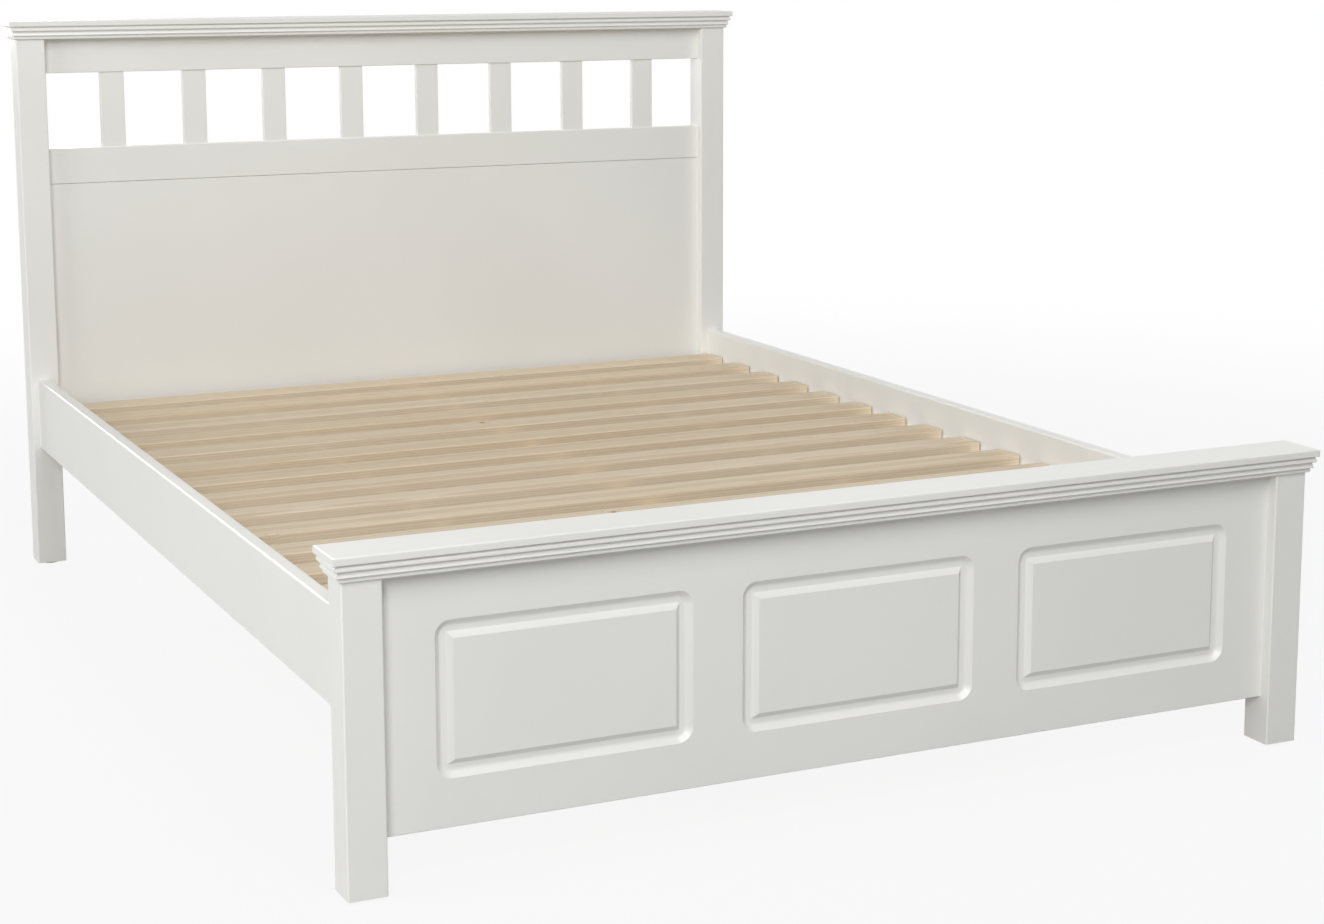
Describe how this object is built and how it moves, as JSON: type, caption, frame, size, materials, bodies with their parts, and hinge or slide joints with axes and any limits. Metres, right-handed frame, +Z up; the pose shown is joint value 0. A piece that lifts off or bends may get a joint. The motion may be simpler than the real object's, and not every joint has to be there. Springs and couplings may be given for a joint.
{
  "type": "bed frame",
  "caption": "Painted wooden double bed frame with a spindle headboard, a panelled footboard, side rails and a slatted deck.",
  "frame": {"origin": "on the floor, under the middle of the bed", "axes": "+Y along the bed from the foot end to the head end, +X across it to the right as seen from the foot end, +Z up"},
  "size_m": [1.64, 2.16, 1.135],
  "materials": {
    "satin_paint": "satin off-white paint over wood",
    "bare_pine": "planed bare pine",
    "zinc_steel": "zinc plated",
    "moulded_plastic": "moulded black nylon",
    "webbing": "woven polyester webbing"
  },
  "bodies": {
    "frame": {"bracket_screws": "zinc_steel", "cap_dowels": "bare_pine", "centre_brackets": "zinc_steel", "centre_leg_foot": "bare_pine", "centre_leg_head": "bare_pine", "centre_rail": "bare_pine", "cleat_left": "satin_paint", "cleat_right": "satin_paint", "cleat_screws": "zinc_steel", "foot_cap": "satin_paint", "foot_panel": "satin_paint", "foot_post_left": "satin_paint", "foot_post_right": "satin_paint", "head_cap": "satin_paint", "head_mid_rail": "satin_paint", "head_panel": "satin_paint", "head_post_left": "satin_paint", "head_post_right": "satin_paint", "head_spindle_1": "satin_paint", "head_spindle_2": "satin_paint", "head_spindle_3": "satin_paint", "head_spindle_4": "satin_paint", "head_spindle_5": "satin_paint", "head_spindle_6": "satin_paint", "head_spindle_7": "satin_paint", "head_spindle_8": "satin_paint", "head_top_rail": "satin_paint", "hook_plates": "zinc_steel", "leg_bolt_inserts": "zinc_steel", "leg_bolts": "zinc_steel", "leveller_inserts": "zinc_steel", "plate_screws": "zinc_steel", "post_glides": "moulded_plastic", "side_rail_left": "satin_paint", "side_rail_right": "satin_paint", "slat_01": "bare_pine", "slat_02": "bare_pine", "slat_03": "bare_pine", "slat_04": "bare_pine", "slat_05": "bare_pine", "slat_06": "bare_pine", "slat_07": "bare_pine", "slat_08": "bare_pine", "slat_09": "bare_pine", "slat_10": "bare_pine", "slat_11": "bare_pine", "slat_12": "bare_pine", "slat_13": "bare_pine", "slat_14": "bare_pine", "slat_15": "bare_pine", "slat_screws": "zinc_steel", "slat_strap_left": "webbing", "slat_strap_right": "webbing", "slot_plates": "zinc_steel"},
    "leveller_foot": {"leveller_stud_foot": "zinc_steel", "leveller_pad_foot": "moulded_plastic"},
    "leveller_head": {"leveller_stud_head": "zinc_steel", "leveller_pad_head": "moulded_plastic"}
  },
  "joints": [
    {"name": "leveller_foot_height", "type": "slide", "parent": "frame", "child": "leveller_foot", "axis": [0, 0, -1], "range_m": [-0.006, 0.012]},
    {"name": "leveller_head_height", "type": "slide", "parent": "frame", "child": "leveller_head", "axis": [0, 0, -1], "range_m": [-0.006, 0.012]}
  ]
}
